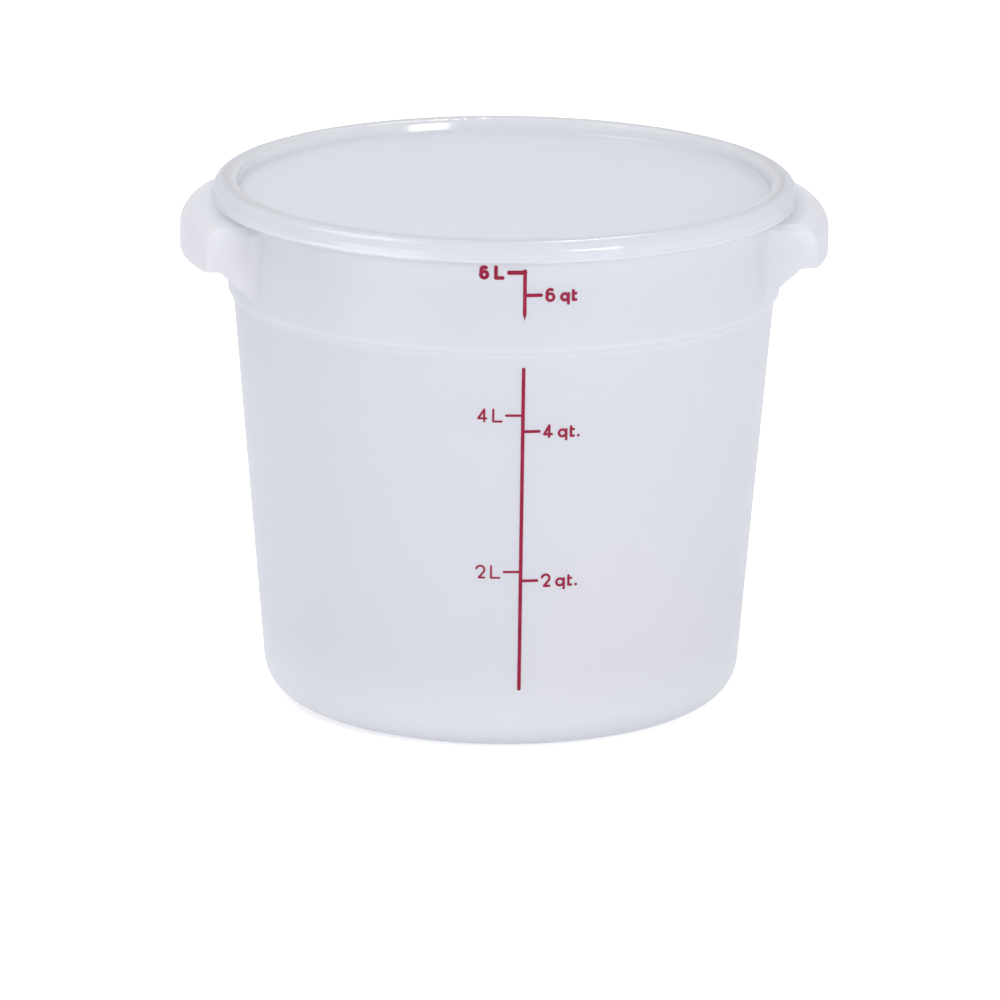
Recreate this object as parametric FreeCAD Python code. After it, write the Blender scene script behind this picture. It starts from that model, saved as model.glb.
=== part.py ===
import FreeCAD
import Part
import math
import os

# Round translucent food container with a press-on lid, for proofing dough.
# Millimetres. Z is up, the origin is on the table under the middle of the base.
# The handles point along +X and -X, and the printed scale faces -Y.

# Container wall
container_height = 207.0     # table to the rim's top face
base_radius = 93.6           # outer wall carried on down to the table
wall_top_radius = 106.9      # outer wall where it meets the collar
wall = 2.4
floor_thickness = 2.6
base_corner_radius = 14.5    # outer rounding between floor and wall
foot_width = 11.0            # flat ring that the container stands on
foot_recess = 0.8            # the floor inside that ring is lifted by this

# Collar, the wider band under the rim
collar_height = 42.7         # rim's top face down to the collar's lower edge
collar_step = 2.0            # the collar stands out this far from the wall
collar_draft_deg = 1.0
collar_edge_round = 1.1
ledge_round = 0.8            # the step's edges inside

# Rim, a flange with a turned-down lip that the lid presses over
rim_overhang = 3.3
rim_thickness = 2.2
rim_lip_depth = 3.5
rim_lip_wall = 1.7
rim_outer_round = 2.6
rim_inner_round = 1.2
rim_lip_round = 0.5

# Handles, two hollow ears moulded onto the collar
handle_reach = 18.3          # collar face out to the ear's outer face
handle_width = 93.0          # between the ear's two end faces, which are parallel
handle_lid_gap = 2.2         # lid's skirt down to the ear's top
handle_depth = 17.0          # ear's top down to its outer wall's lower edge
handle_wall = 2.4
handle_top_round = 8.5
handle_end_round = 3.4
handle_gusset_flat = 5.5     # level part of an end wall's lower edge
handle_gusset_drop = 13.0    # the slanted part falls by this, down to the collar
handle_root_round = 8.0      # hollow rounding of the end walls into the collar, at the ear's top
handle_root_tip = 0.4        # the same at the foot of the gusset, where it runs out

# Lid
lid_wall = 1.5
lid_clearance = 0.4          # rim lip to the lid's skirt
lid_skirt_below = 2.9        # the skirt reaches this far below the rim's lip
lid_lip_height = 1.0         # lip at the skirt's foot
lid_lip_flare = 0.7          # the lip stands out this far from the skirt
lid_snap_bead = 0.25         # bead inside the skirt, under the rim's lip
lid_panel_depth = 5.1        # lid's crest down to the panel
lid_recess_draft_deg = 15.0  # lean of the recess wall
lid_recess_round = 1.8       # between the recess wall and the crest
lid_panel_round = 1.5        # between the recess wall and the panel
lid_edge_round = 0.4
lid_plug_clearance = 0.35    # container's mouth to the lid's plug ring
lid_plug_below = 4.0         # the plug ring reaches this far below the panel

# Printed scale
ink_thickness = 0.15
scale_shift = 0.8            # the print stands this far right of the front's middle
scale_line_width = 1.4
scale_line_foot = 26.5       # lower end of the wall's line, above the table
scale_line_gap = 7.2         # upper end of the wall's line, below the collar's edge
scale_collar_foot = 12.6     # lower end of the collar's line, above the collar's edge
scale_collar_taper = 2.4     # that end thins to a point
scale_collar_head = 6.5      # upper end of the collar's line, below the rim's lip
tick_length = 6.9            # from the line's middle
tick_width = 1.05
label_gap = 0.9
label_height = 5.6
label_stroke = 0.9
letter_gap = 0.8
word_gap = 1.8
digit_width = 3.9
capital_width = 4.0
small_height = 3.7           # letters without ascenders
tail_depth = 1.3
t_height = 4.8
t_width = 2.1
stop_radius = 0.55
four_bar_share = 0.28        # height of the bar across a 4, as a share of the 4
stroke_stagger = 0.12        # strokes that would only graze each other are set in by this
mm3_per_litre = 1.0e6
mm3_per_quart = 946353.0
# Litre marks go left of the line and quart marks right: volume, words, weight of the strokes
litre_marks = ((2, "2 L", 0.85), (4, "4 L", 0.9), (6, "6 L", 1.6))
quart_marks = ((2, "2 qt.", 1.05), (4, "4 qt.", 1.1), (6, "6 qt", 1.3))

UP = FreeCAD.Vector(0, 0, 1)
ORIGIN = FreeCAD.Vector(0, 0, 0)
TOWARDS_FRONT = FreeCAD.Vector(0, -1, 0)
FRONT_DEG = -90.0
PRINT_SWEEP_DEG = 40.0
LEVEL_STEP = 0.05
EDGE_TOLERANCE = 0.01
HALF_CORNER = math.tan(math.radians(22.5))

# Sizes that follow from the ones above
collar_z = container_height - collar_height
collar_radius = wall_top_radius + collar_step
collar_slope = math.tan(math.radians(collar_draft_deg))
flange_z = container_height - rim_thickness
lip_z = container_height - rim_lip_depth
wall_slope = (wall_top_radius - base_radius) / (collar_z - collar_step)


def wall_radius(z):
    return base_radius + wall_slope * z


def collar_radius_at(z):
    return collar_radius + collar_slope * (z - collar_z)


rim_radius = collar_radius_at(flange_z) + rim_overhang
handle_radius = collar_radius_at(flange_z) + handle_reach
lid_skirt_z = lip_z - lid_skirt_below
handle_top_z = lid_skirt_z - handle_lid_gap
handle_foot_z = handle_top_z - handle_depth
handle_tip_z = handle_foot_z - handle_gusset_drop
handle_buried = wall + 2 * handle_end_round

lid_crest_z = container_height + lid_wall
lid_radius = rim_radius + lid_clearance + lid_wall
lid_under_round = rim_outer_round + lid_clearance
lid_panel_z = lid_crest_z - lid_panel_depth
lid_recess_slope = math.tan(math.radians(lid_recess_draft_deg))
plug_foot_z = lid_panel_z - lid_wall - lid_plug_below
plug_radius = collar_radius_at(plug_foot_z) - wall - lid_plug_clearance
plug_inner = plug_radius - lid_wall


def recess_radius(z):
    return plug_inner + lid_recess_slope * (z - container_height)


def point(x, z):
    return FreeCAD.Vector(x, 0, z)


def rounded_outline(corners):
    """Closed face in the XZ plane through (x, z, rounding) corners."""
    count = len(corners)
    starts = []
    middles = []
    ends = []
    for i, (x, z, rounding) in enumerate(corners):
        here = point(x, z)
        if rounding == 0:
            starts.append(here)
            middles.append(None)
            ends.append(here)
            continue
        to_before = (point(*corners[i - 1][:2]) - here).normalize()
        to_after = (point(*corners[(i + 1) % count][:2]) - here).normalize()
        half = to_before.getAngle(to_after) / 2
        reach = rounding / math.tan(half)
        bisector = (to_before + to_after).normalize()
        starts.append(here + to_before * reach)
        middles.append(here + bisector * (rounding / math.sin(half) - rounding))
        ends.append(here + to_after * reach)
    edges = []
    for i in range(count):
        if middles[i]:
            edges.append(Part.Arc(starts[i], middles[i], ends[i]).toShape())
        edges.append(Part.LineSegment(ends[i], starts[(i + 1) % count]).toShape())
    return Part.Face(Part.Wire(edges))


def turned(corners, sweep_deg=360.0, middle_deg=0.0):
    """Solid of revolution about Z; a part turn is centred on middle_deg."""
    face = rounded_outline(corners)
    face.rotate(ORIGIN, UP, middle_deg - sweep_deg / 2)
    return face.revolve(ORIGIN, UP, sweep_deg)


def vessel():
    """Floor, wall, collar and rim in one turned solid, without the handles."""
    foot_inner = base_radius - base_corner_radius - foot_width
    lip_inner = rim_radius - rim_lip_wall
    ledge_z = collar_z + wall * HALF_CORNER
    return turned([
        (0, foot_recess, 0),
        (foot_inner, foot_recess, foot_recess),
        (foot_inner + foot_recess, 0, foot_recess / 2),
        (base_radius, 0, base_corner_radius),
        (wall_top_radius, collar_z - collar_step, collar_edge_round),
        (collar_radius, collar_z, collar_edge_round),
        (collar_radius_at(flange_z), flange_z, rim_lip_round),
        (lip_inner, flange_z, rim_lip_round),
        (lip_inner, lip_z, rim_lip_round),
        (rim_radius, lip_z, rim_lip_round),
        (rim_radius, container_height, rim_outer_round),
        (collar_radius_at(container_height) - wall, container_height, rim_inner_round),
        (collar_radius_at(ledge_z) - wall, ledge_z, ledge_round),
        (wall_top_radius - wall, ledge_z - collar_step, ledge_round),
        (wall_radius(floor_thickness) - wall, floor_thickness, base_corner_radius - wall),
        (0, floor_thickness, 0),
    ])


def root_web():
    """Hollow rounding between an ear's end face and the collar, running out at the gusset's foot."""
    face_y = handle_width / 2
    stations = (
        (handle_top_z, handle_root_round),
        (handle_tip_z, handle_root_tip),
    )
    wires = []
    for z, rounding in stations:
        radius = collar_radius_at(z)
        middle_y = face_y + rounding
        middle_x = math.sqrt((radius + rounding) ** 2 - middle_y ** 2)
        middle = FreeCAD.Vector(middle_x, middle_y, z)
        to_wall = FreeCAD.Vector(0, -1, 0)
        to_collar = FreeCAD.Vector(-middle_x, -middle_y, 0).normalize()
        on_wall = middle + to_wall * rounding
        on_collar = middle + to_collar * rounding
        between = middle + (to_wall + to_collar).normalize() * rounding
        in_collar = on_collar + to_collar * handle_buried
        in_corner = FreeCAD.Vector(in_collar.x, face_y - handle_buried, z)
        in_wall = on_wall + to_wall * handle_buried
        corners = [on_collar, in_collar, in_corner, in_wall, on_wall]
        edges = [Part.Arc(on_wall, between, on_collar).toShape()]
        for start, end in zip(corners, corners[1:]):
            edges.append(Part.LineSegment(start, end).toShape())
        wires.append(Part.Wire(edges))
    return Part.makeLoft(wires, True, True)


def end_edges(block):
    """The chain of edges round each end of an ear: its outer corner, its top and the root's top."""
    found = []
    for edge in block.Edges:
        middle = edge.valueAt((edge.FirstParameter + edge.LastParameter) / 2)
        radius = math.hypot(middle.x, middle.y)
        at_end = abs(middle.y) > handle_width / 2 - EDGE_TOLERANCE and radius > collar_radius_at(middle.z)
        on_top = middle.z > handle_top_z - handle_top_round
        on_corner = radius > handle_radius - EDGE_TOLERANCE and middle.z > handle_foot_z + EDGE_TOLERANCE
        if at_end and (on_top or on_corner):
            found.append(edge)
    return found


def slab(width, corners):
    """Half turned solid on +X, trimmed to a width along Y."""
    trim = Part.makeBox(handle_radius, width, container_height, FreeCAD.Vector(0, -width / 2, 0))
    return turned(corners, 180.0).common(trim)


def handle():
    """One hollow ear on +X, open underneath and rooted half way into the collar's wall."""
    inside = collar_radius - handle_buried
    block = slab(handle_width, [
        (inside, handle_top_z, 0),
        (handle_radius, handle_top_z, handle_top_round),
        (handle_radius, handle_foot_z, 0),
        (handle_radius - handle_gusset_flat, handle_foot_z, handle_gusset_flat / 2),
        (collar_radius, handle_tip_z, 0),
        (inside, handle_tip_z, 0),
    ])
    web = root_web()
    block = block.fuse([web, web.mirror(ORIGIN, TOWARDS_FRONT)]).removeSplitter()
    block = block.makeFillet(handle_end_round, end_edges(block))
    inner_radius = handle_radius - handle_wall
    inner_top_z = handle_top_z - handle_wall
    hollow = slab(handle_width - 2 * handle_wall, [
        (inside, inner_top_z, 0),
        (inner_radius, inner_top_z, handle_top_round - handle_wall),
        (inner_radius, handle_tip_z, 0),
        (inside, handle_tip_z, 0),
    ])
    core = Part.makeCylinder(collar_radius - wall / 2, container_height)
    return block.cut([hollow, core])


def container_body():
    right = handle()
    left = right.mirror(ORIGIN, FreeCAD.Vector(1, 0, 0))
    return vessel().fuse([right, left]).removeSplitter()


def lid():
    skirt_inner = lid_radius - lid_wall
    bead_radius = skirt_inner - lid_snap_bead
    lip_radius = lid_radius + lid_lip_flare
    lip_top_z = lid_skirt_z + lid_lip_height
    under_z = lid_panel_z - lid_wall
    return turned([
        (0, lid_panel_z, 0),
        (recess_radius(lid_panel_z), lid_panel_z, lid_panel_round),
        (recess_radius(lid_crest_z), lid_crest_z, lid_recess_round),
        (lid_radius, lid_crest_z, lid_under_round + lid_wall),
        (lid_radius, lip_top_z + lid_lip_flare, lid_edge_round),
        (lip_radius, lip_top_z, lid_edge_round),
        (lip_radius, lid_skirt_z, lid_edge_round),
        (bead_radius, lid_skirt_z, lid_snap_bead),
        (bead_radius, lid_skirt_z + lid_skirt_below / 2, lid_snap_bead / 2),
        (skirt_inner, lip_z, 0),
        (skirt_inner, container_height, lid_under_round),
        (plug_radius, container_height, lid_edge_round),
        (plug_radius, plug_foot_z, lid_edge_round),
        (plug_inner, plug_foot_z, lid_edge_round),
        (plug_inner, under_z, lid_edge_round),
        (0, under_z, 0),
    ])


def inside_radius(z):
    """The vessel's inside radius at a height above the table."""
    if z > collar_z:
        return collar_radius_at(z) - wall
    radius = wall_radius(z) - wall
    corner = base_corner_radius - wall
    below = floor_thickness + corner - z
    if below > 0:
        radius -= corner - math.sqrt(corner ** 2 - below ** 2)
    return radius


def fill_level(volume):
    """Height above the table that a volume in cubic millimetres fills the vessel to."""
    z = floor_thickness
    while volume > 0:
        volume -= math.pi * inside_radius(z) ** 2 * LEVEL_STEP
        z += LEVEL_STEP
    return z


def swung(vector, turn_deg):
    cosine = math.cos(math.radians(turn_deg))
    sine = math.sin(math.radians(turn_deg))
    return point(vector.x * cosine - vector.z * sine, vector.x * sine + vector.z * cosine)


def pen(x, z, heading_deg, moves, width):
    """Round-ended pen stroke: a move is (length, 0) ahead or (radius, turn) with left turns positive."""
    half = width / 2
    place = point(x, z)
    ahead = swung(point(half, 0), heading_deg)
    side = swung(ahead, 90)
    edges = [Part.Arc(place - side, place - ahead, place + side).toShape()]
    way_back = []
    for size, turn_deg in moves:
        before = place
        side_before = side
        if turn_deg == 0:
            place = before + ahead * (size / half)
            edges.append(Part.LineSegment(before + side, place + side).toShape())
            way_back.insert(0, Part.LineSegment(place - side, before - side).toShape())
            continue
        to_centre = side * math.copysign(size / half, turn_deg)
        centre = before + to_centre
        halfway = centre - swung(to_centre, turn_deg / 2)
        halfway_side = swung(side, turn_deg / 2)
        place = centre - swung(to_centre, turn_deg)
        side = swung(side, turn_deg)
        ahead = swung(ahead, turn_deg)
        left = Part.Arc(before + side_before, halfway + halfway_side, place + side)
        right = Part.Arc(place - side, halfway - halfway_side, before - side_before)
        edges.append(left.toShape())
        way_back.insert(0, right.toShape())
    edges.append(Part.Arc(place + side, place + ahead, place - side).toShape())
    return Part.Face(Part.Wire(edges + way_back))


def disc(x, z, radius):
    return Part.Face(Part.Wire(Part.makeCircle(radius, point(x, z), TOWARDS_FRONT)))


def ring(x, z, radius, width):
    return disc(x, z, radius + width / 2).cut(disc(x, z, radius - width / 2)).Faces[0]


def two(x, z, width):
    half = width / 2
    bow = digit_width / 2 - half
    bow_x = x + half + bow
    bow_z = z + label_height - half - bow
    start_deg = 165
    end_deg = -38
    start = swung(point(bow, 0), start_deg)
    end = swung(point(bow, 0), end_deg)
    slant_deg = 90 + end_deg
    slant = (bow_z + end.z - z - half) / math.sin(math.radians(slant_deg))
    foot_x = bow_x + end.x - slant * math.cos(math.radians(slant_deg))
    moves = [(bow, end_deg - start_deg), (slant, 0)]
    neck = pen(bow_x + start.x, bow_z + start.z, start_deg - 90, moves, width)
    foot = pen(foot_x, z + half, 0, [(x + digit_width - half - foot_x, 0)], width)
    return [neck, foot]


def four(x, z, width):
    half = width / 2
    stem_x = x + digit_width - half - width
    bar_x = x + half
    bar_z = z + label_height * four_bar_share
    top_z = z + label_height - half
    slant_deg = math.degrees(math.atan2(top_z - bar_z, stem_x - bar_x))
    slant = math.hypot(top_z - bar_z, stem_x - bar_x)
    return [
        pen(stem_x, z + half, 90, [(top_z - z - half, 0)], width),
        pen(bar_x, bar_z, 0, [(digit_width - width, 0)], width),
        pen(bar_x, bar_z, slant_deg, [(slant, 0)], width),
    ]


def six(x, z, width):
    half = width / 2
    bowl = digit_width / 2 - half
    bowl_x = x + half + bowl
    bowl_z = z + half + bowl
    hook = bowl - stroke_stagger
    hook_z = z + label_height - half - hook
    start_deg = 55
    start = swung(point(hook, 0), start_deg)
    moves = [(hook, 180 - start_deg), (hook_z - bowl_z, 0)]
    stem = pen(bowl_x + start.x, hook_z + start.z, start_deg + 90, moves, width)
    return [ring(bowl_x, bowl_z, bowl, width), stem]


def capital_l(x, z, width):
    half = width / 2
    return [
        pen(x + half, z + half, 90, [(label_height - width, 0)], width),
        pen(x + half, z + half, 0, [(capital_width - width, 0)], width),
    ]


def small_q(x, z, width):
    half = width / 2
    bowl = small_height / 2 - half
    stem_x = x + small_height - half + stroke_stagger
    return [
        ring(x + half + bowl, z + half + bowl, bowl, width),
        pen(stem_x, z + small_height - half, -90, [(small_height + tail_depth - width, 0)], width),
    ]


def small_t(x, z, width):
    half = width / 2
    stem_x = x + t_width / 2 - half
    return [
        pen(stem_x, z + half, 90, [(t_height - width, 0)], width),
        pen(stem_x, z + half, 0, [(x + t_width - half - stem_x, 0)], width),
        pen(x + half, z + small_height - half, 0, [(t_width - width, 0)], width),
    ]


def full_stop(x, z, width):
    return [disc(x + stop_radius, z + stop_radius, stop_radius)]


# Each sign of the labels: how it is drawn and how wide it is
signs = {
    "2": (two, digit_width),
    "4": (four, digit_width),
    "6": (six, digit_width),
    "L": (capital_l, capital_width),
    "q": (small_q, small_height + stroke_stagger),
    "t": (small_t, t_width),
    ".": (full_stop, 2 * stop_radius),
}


def words_width(words):
    total = -letter_gap
    for sign in words:
        total += word_gap - letter_gap if sign == " " else signs[sign][1] + letter_gap
    return total


def inked(faces, coat):
    """The faces, drawn in the XZ plane, laid as a thin coat of ink on the container's front."""
    prisms = []
    for face in faces:
        placed = face.translated(FreeCAD.Vector(scale_shift, 0, 0))
        prisms.append(placed.extrude(TOWARDS_FRONT * handle_radius))
    joined = prisms[0]
    if len(prisms) > 1:
        joined = joined.fuse(prisms[1:]).removeSplitter()
    return joined.common(coat).Solids


def label(words, start_x, level, weight, coat):
    solids = []
    x = start_x
    for sign in words:
        if sign == " ":
            x += word_gap - letter_gap
            continue
        draw, width = signs[sign]
        solids += inked(draw(x, level - label_height / 2, label_stroke * weight), coat)
        x += width + letter_gap
    return solids


def ink_coat():
    """Thin skin over the front of the wall, the step and the collar, for the ink to be cut from."""
    drop = ink_thickness * HALF_CORNER
    step_z = collar_z - collar_step
    start_z = base_corner_radius
    return turned([
        (wall_radius(start_z), start_z, 0),
        (wall_top_radius, step_z, collar_edge_round),
        (collar_radius, collar_z, collar_edge_round),
        (collar_radius_at(lip_z), lip_z, 0),
        (collar_radius_at(lip_z) + ink_thickness, lip_z, 0),
        (collar_radius + ink_thickness, collar_z - drop, collar_edge_round + ink_thickness),
        (wall_top_radius + ink_thickness, step_z - drop, collar_edge_round - ink_thickness),
        (wall_radius(start_z) + ink_thickness, start_z, 0),
    ], PRINT_SWEEP_DEG, FRONT_DEG)


def printed_scale():
    """The print's solids by name: a line with ticks on collar and wall, and the words beside them."""
    coat = ink_coat()
    half_line = scale_line_width / 2
    collar_foot_z = collar_z + scale_collar_foot
    collar_top_z = lip_z - scale_collar_head
    wall_foot_z = scale_line_foot
    wall_top_z = collar_z - scale_line_gap
    collar_faces = []
    wall_faces = []
    labels = {"litre_labels": [], "quart_labels": []}
    columns = (
        ("litre_labels", litre_marks, mm3_per_litre, -1),
        ("quart_labels", quart_marks, mm3_per_quart, 1),
    )
    for name, marks, unit, side in columns:
        for volume, words, weight in marks:
            level = fill_level(volume * unit)
            if level + label_height / 2 > lip_z:
                continue
            width = tick_width * weight
            heading_deg = 90 - 90 * side
            tick = pen(0, level, heading_deg, [(tick_length - width / 2, 0)], width)
            if level > collar_z:
                collar_faces.append(tick)
                collar_foot_z = min(collar_foot_z, level - width / 2 - scale_collar_taper)
                collar_top_z = max(collar_top_z, level + width / 2)
            else:
                wall_faces.append(tick)
                wall_foot_z = min(wall_foot_z, level)
                wall_top_z = max(wall_top_z, level)
            start_x = tick_length + label_gap
            if side < 0:
                start_x = -start_x - words_width(words)
            labels[name] += label(words, start_x, level, weight, coat)
    collar_faces.insert(0, rounded_outline([
        (-half_line, collar_top_z, 0),
        (half_line, collar_top_z, 0),
        (half_line, collar_foot_z + scale_collar_taper, 0),
        (0, collar_foot_z, 0),
        (-half_line, collar_foot_z + scale_collar_taper, 0),
    ]))
    wall_faces.insert(0, pen(0, wall_foot_z, 90, [(wall_top_z - wall_foot_z, 0)], scale_line_width))
    return {
        "collar_scale": inked(collar_faces, coat),
        "wall_scale": inked(wall_faces, coat),
        "litre_labels": labels["litre_labels"],
        "quart_labels": labels["quart_labels"],
    }


def save(name, shape):
    shape.exportStep(os.path.join("parts", name + ".step"))
    print(name, "solids", len(shape.Solids), "valid", shape.isValid(), "volume", round(shape.Volume, 2))


os.makedirs("parts", exist_ok=True)
save("container_body", container_body())
save("lid", lid())
for name, solids in printed_scale().items():
    save(name, Part.Compound(solids))
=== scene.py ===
import bpy
import math
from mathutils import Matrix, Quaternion, Vector

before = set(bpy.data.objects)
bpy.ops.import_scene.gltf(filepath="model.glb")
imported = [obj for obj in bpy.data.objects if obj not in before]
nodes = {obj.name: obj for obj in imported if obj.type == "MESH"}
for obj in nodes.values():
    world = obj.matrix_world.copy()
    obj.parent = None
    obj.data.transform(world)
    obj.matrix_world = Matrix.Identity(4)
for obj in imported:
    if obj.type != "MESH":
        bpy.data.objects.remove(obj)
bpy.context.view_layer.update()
scene = bpy.context.scene
print("frame loaded:", sorted(nodes))


def addNode(tree, kind, inputs=None, **settings):
    node = tree.nodes.new("ShaderNode" + kind)
    for key, value in settings.items():
        setattr(node, key, value)
    for key, value in (inputs or {}).items():
        node.inputs[key].default_value = value
    return node


def emptyTree(owner):
    owner.use_nodes = True
    owner.node_tree.nodes.clear()
    return owner.node_tree


def startMaterial(name):
    material = bpy.data.materials.new(name)
    tree = emptyTree(material)
    shader = addNode(tree, "BsdfPrincipled")
    coords = addNode(tree, "TexCoord").outputs["Object"]
    return material, tree, shader, coords


def showSurface(tree, closure):
    tree.links.new(closure, addNode(tree, "OutputMaterial").inputs["Surface"])


# nearly all noise values lie between low and high
noiseLook = {"roughness": 0.55, "low": 0.3, "high": 0.7}


def noiseField(tree, coords, scale, detail):
    noise = addNode(tree, "TexNoise", {"Scale": scale, "Detail": detail, "Roughness": noiseLook["roughness"]})
    tree.links.new(coords, noise.inputs["Vector"])
    return noise.outputs["Fac"]


def spread(tree, field, low=0.0, high=1.0):
    node = addNode(tree, "MapRange", {
        "From Min": noiseLook["low"], "From Max": noiseLook["high"], "To Min": low, "To Max": high})
    tree.links.new(field, node.inputs["Value"])
    return node.outputs["Result"]


def tintMix(tree, field, colourA, colourB):
    node = addNode(tree, "Mix", {"A": colourA, "B": colourB}, data_type="RGBA")
    tree.links.new(field, node.inputs["Factor"])
    return node


def heightField(tree, coords):
    split = addNode(tree, "SeparateXYZ")
    tree.links.new(coords, split.inputs["Vector"])
    return split.outputs["Z"]


def radiusField(tree, coords):
    flat = addNode(tree, "VectorMath", {1: (1, 1, 0)}, operation="MULTIPLY")
    length = addNode(tree, "VectorMath", operation="LENGTH")
    tree.links.new(coords, flat.inputs[0])
    tree.links.new(flat.outputs["Vector"], length.inputs[0])
    return length.outputs["Value"]


def bands(tree, field, stops):
    last = stops[-1][0]
    share = addNode(tree, "MapRange", {"From Max": last})
    ramp = addNode(tree, "ValToRGB")
    tree.links.new(field, share.inputs["Value"])
    tree.links.new(share.outputs["Result"], ramp.inputs["Fac"])
    elements = ramp.color_ramp.elements
    for (place, amount), element in zip((stops[0], stops[-1]), elements):
        element.position = place / last
        element.color = (amount, amount, amount, 1)
    for place, amount in stops[1:-1]:
        elements.new(place / last).color = (amount, amount, amount, 1)
    return ramp.outputs["Color"]


def bumpSkin(tree, shader, field, strength, depth):
    bump = addNode(tree, "Bump", {"Strength": strength, "Distance": depth})
    tree.links.new(field, bump.inputs["Height"])
    tree.links.new(bump.outputs["Normal"], shader.inputs["Normal"])


def dress(nodeName, material):
    slots = nodes[nodeName].data.materials
    slots.clear()
    slots.append(material)


# frosted polypropylene: milky, a little bluer in broad patches, satin skin with a fine moulded grain
plastic = {
    "ior": 1.49, "gloss": 1.0, "passed": 0.45,
    "patches": {"scale": 7.0, "detail": 2.0},
    "haze": {"scale": 90.0, "detail": 3.0},
    "grain": {"scale": 260.0, "detail": 2.0},
    "grainBump": {"strength": 0.02, "depth": 0.0002},
}

# painted light: a paler tint painted in bands to lift the shade, by height at the tub's base corner, collar
# edge and rim, and by radius on the lid, most at the recess wall and least at the skirt
frosted = {
    "container_body": {
        "coolTint": (0.88, 0.897, 0.938, 1),
        "milkTint": (0.90, 0.898, 0.93, 1),
        "paintedLightTint": (0.935, 0.94, 0.967, 1),
        "bandsAlong": heightField,
        "paintedLightBands": (
            (0.0, 1), (0.012, 1), (0.034, 0), (0.160, 0), (0.1625, 1),
            (0.1648, 1), (0.1665, 0), (0.188, 0), (0.197, 1), (0.21, 1)),
        "alpha": 0.8, "roughLow": 0.29, "roughHigh": 0.35,
    },
    "lid": {
        "coolTint": (0.895, 0.914, 0.965, 1),
        "milkTint": (0.905, 0.914, 0.96, 1),
        "paintedLightTint": (0.967, 0.975, 0.996, 1),
        "bandsAlong": radiusField,
        "paintedLightBands": (
            (0.0, 0.52), (0.1030, 0.52), (0.1045, 1), (0.1075, 1),
            (0.1095, 0.45), (0.1125, 0.4), (0.1140, 0.15), (0.116, 0.15)),
        "alpha": 0.88, "roughLow": 0.1, "roughHigh": 0.14,
    },
}


def frostedPlastic(name, look):
    material, tree, shader, coords = startMaterial(name)
    patches = noiseField(tree, coords, **plastic["patches"])
    haze = noiseField(tree, coords, **plastic["haze"])
    grain = noiseField(tree, coords, **plastic["grain"])
    milky = tintMix(tree, spread(tree, patches), look["coolTint"], look["milkTint"])
    # painted light: the bands mix the paler tint over the milky tone
    paintedLightShare = bands(tree, look["bandsAlong"](tree, coords), look["paintedLightBands"])
    tint = tintMix(tree, paintedLightShare, look["milkTint"], look["paintedLightTint"])
    tree.links.new(milky.outputs["Result"], tint.inputs["A"])
    tree.links.new(tint.outputs["Result"], shader.inputs["Base Color"])
    tree.links.new(spread(tree, haze, look["roughLow"], look["roughHigh"]), shader.inputs["Roughness"])
    bumpSkin(tree, shader, grain, **plastic["grainBump"])
    shader.inputs["IOR"].default_value = plastic["ior"]
    shader.inputs["Specular IOR Level"].default_value = plastic["gloss"]
    shader.inputs["Alpha"].default_value = look["alpha"]
    through = addNode(tree, "BsdfTranslucent")  # the light that the milky wall lets through
    blend = addNode(tree, "MixShader", {"Fac": plastic["passed"]})
    tree.links.new(tint.outputs["Result"], through.inputs["Color"])
    tree.links.new(shader.outputs["BSDF"], blend.inputs[1])
    tree.links.new(through.outputs["BSDF"], blend.inputs[2])
    showSurface(tree, blend.outputs["Shader"])
    return material


for nodeName, look in frosted.items():
    dress(nodeName, frostedPlastic("frosted_" + nodeName, look))
print("frosted plastic done")

# crimson screen print, a little uneven as ink is
ink = {
    "nodes": ("collar_scale", "wall_scale", "litre_labels", "quart_labels"),
    "deep": (0.27, 0.003, 0.032, 1), "worn": (0.35, 0.012, 0.06, 1),
    "gloss": 0.25, "roughLow": 0.38, "roughHigh": 0.55,
    "cover": {"scale": 260.0, "detail": 4.0},
    "grain": {"scale": 1200.0, "detail": 2.0},
    "grainBump": {"strength": 0.15, "depth": 0.00005},
}


def crimsonInk(look):
    material, tree, shader, coords = startMaterial("crimson_ink")
    cover = noiseField(tree, coords, **look["cover"])
    grain = noiseField(tree, coords, **look["grain"])
    tint = tintMix(tree, spread(tree, cover), look["deep"], look["worn"])
    tree.links.new(tint.outputs["Result"], shader.inputs["Base Color"])
    tree.links.new(spread(tree, cover, look["roughLow"], look["roughHigh"]), shader.inputs["Roughness"])
    bumpSkin(tree, shader, grain, **look["grainBump"])
    shader.inputs["Specular IOR Level"].default_value = look["gloss"]
    showSurface(tree, shader.outputs["BSDF"])
    return material


inkMaterial = crimsonInk(ink)
for nodeName in ink["nodes"]:
    dress(nodeName, inkMaterial)
print("ink done")

# floor and room are white to the camera, a little dimmer in reflections and through the plastic,
# and dimmer still as light on the tub
floorLook = {
    "radius": 6.0, "sides": 96, "drop": 0.0002, "colour": (0.93, 0.93, 0.93, 1),
    "glow": {"asLight": 0.0, "mirrored": 0.3, "seen": 0.42},
}
room = {"colour": (1, 1, 1, 1), "glow": {"asLight": 0.624, "mirrored": 0.8, "seen": 1.0}}


def rayStrength(tree, glow):
    path = addNode(tree, "LightPath")
    bent = addNode(tree, "Math", operation="MAXIMUM")
    unseen = addNode(tree, "MapRange", {"To Min": glow["asLight"], "To Max": glow["mirrored"]})
    strength = addNode(tree, "MapRange", {"To Max": glow["seen"]})
    tree.links.new(path.outputs["Is Glossy Ray"], bent.inputs[0])
    tree.links.new(path.outputs["Is Transmission Ray"], bent.inputs[1])
    tree.links.new(bent.outputs["Value"], unseen.inputs["Value"])
    tree.links.new(path.outputs["Is Camera Ray"], strength.inputs["Value"])
    tree.links.new(unseen.outputs["Result"], strength.inputs["To Min"])
    return strength.outputs["Result"]


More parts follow.
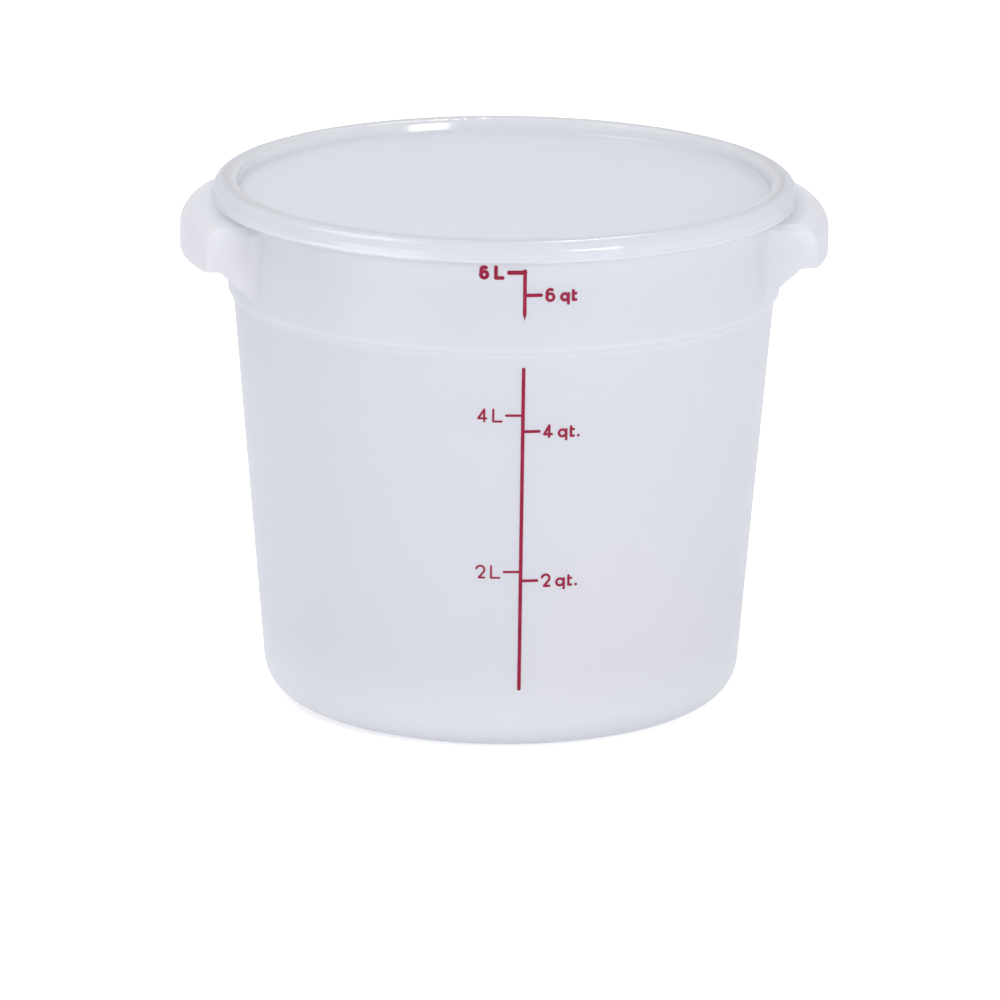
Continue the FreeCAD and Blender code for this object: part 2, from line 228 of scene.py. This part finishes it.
def paleFloor(look):
    bpy.ops.mesh.primitive_circle_add(
        vertices=look["sides"], radius=look["radius"], fill_type="NGON", location=(0, 0, -look["drop"]))
    floor = bpy.context.object
    floor.name = "floor"
    material = bpy.data.materials.new("pale_floor")
    tree = emptyTree(material)
    diffuse = addNode(tree, "BsdfDiffuse", {"Color": look["colour"]})
    glow = addNode(tree, "Emission")
    both = addNode(tree, "AddShader")
    tree.links.new(rayStrength(tree, look["glow"]), glow.inputs["Strength"])
    tree.links.new(diffuse.outputs["BSDF"], both.inputs[0])
    tree.links.new(glow.outputs["Emission"], both.inputs[1])
    showSurface(tree, both.outputs["Shader"])
    floor.data.materials.append(material)


def whiteRoom(look):
    world = bpy.data.worlds.new("white_room")
    scene.world = world
    tree = emptyTree(world)
    background = addNode(tree, "Background", {"Color": look["colour"]})
    output = addNode(tree, "OutputWorld")
    tree.links.new(rayStrength(tree, look["glow"]), background.inputs["Strength"])
    tree.links.new(background.outputs["Background"], output.inputs["Surface"])


paleFloor(floorLook)
whiteRoom(room)
print("floor and room done")

# soft boxes round the tub, all turned to its middle
softBoxes = {
    "top_left_box": {"place": (-0.95, 0.1, 1.75), "size": (1.0, 0.8), "watts": 8.5},
    "back_strip": {"place": (0.275, 1.17, 1.596), "size": (0.06, 0.8), "watts": 2.5},
    "front_right_box": {"place": (0.86, -1.40, 0.64), "size": (0.55, 0.45), "watts": 8},
    "left_card": {"place": (-0.54, -0.45, 0.065), "size": (0.44, 0.12), "watts": 0.4},
}
boxTarget = Vector((0, 0, 0.12))


def softLight(name, look):
    data = bpy.data.lights.new(name, "AREA")
    data.shape = "RECTANGLE"
    data.size, data.size_y = look["size"]
    data.energy = look["watts"]
    lamp = bpy.data.objects.new(name, data)
    scene.collection.objects.link(lamp)
    place = Vector(look["place"])
    lamp.location = place
    lamp.rotation_euler = (boxTarget - place).to_track_quat("-Z", "Y").to_euler()


for boxName, look in softBoxes.items():
    softLight(boxName, look)
print("light done")

# camera at the photograph's angle, a long lens from nearly three metres
shot = {
    "azimuthDeg": -3.8, "elevationDeg": 14.8, "rollDeg": 0.48, "distance": 2.95, "pivot": (0, 0, 0.1044),
    "focalPx": 7420.0, "framePx": 1000.0, "pivotPx": (502.6, 431.6), "sensor": 36.0, "clip": (0.1, 50),
}


def placeCamera(look):
    azimuth = math.radians(look["azimuthDeg"])
    elevation = math.radians(look["elevationDeg"])
    roll = Quaternion((0, 0, 1), math.radians(look["rollDeg"]))
    back = Vector((
        math.sin(azimuth) * math.cos(elevation),
        -math.cos(azimuth) * math.cos(elevation),
        math.sin(elevation)))
    pivot = Vector(look["pivot"])
    place = pivot + back * look["distance"]
    # the aim lies beside the pivot, so that the pivot falls on its place in the picture
    perPx = look["distance"] / look["focalPx"]
    half = look["framePx"] / 2
    aside = (look["pivotPx"][0] - half) * perPx
    above = (half - look["pivotPx"][1]) * perPx
    turn = (-back).to_track_quat("-Z", "Y") @ roll
    aim = pivot - turn @ Vector((aside, above, 0))
    data = bpy.data.cameras.new("camera")
    data.sensor_width = look["sensor"]
    data.lens = look["focalPx"] * look["sensor"] / look["framePx"]
    data.clip_start, data.clip_end = look["clip"]
    camera = bpy.data.objects.new("camera", data)
    scene.collection.objects.link(camera)
    camera.rotation_mode = "QUATERNION"
    camera.location = place
    camera.rotation_quaternion = (aim - place).to_track_quat("-Z", "Y") @ roll
    scene.camera = camera


placeCamera(shot)
scene.view_settings.view_transform = "Standard"
print("camera done")
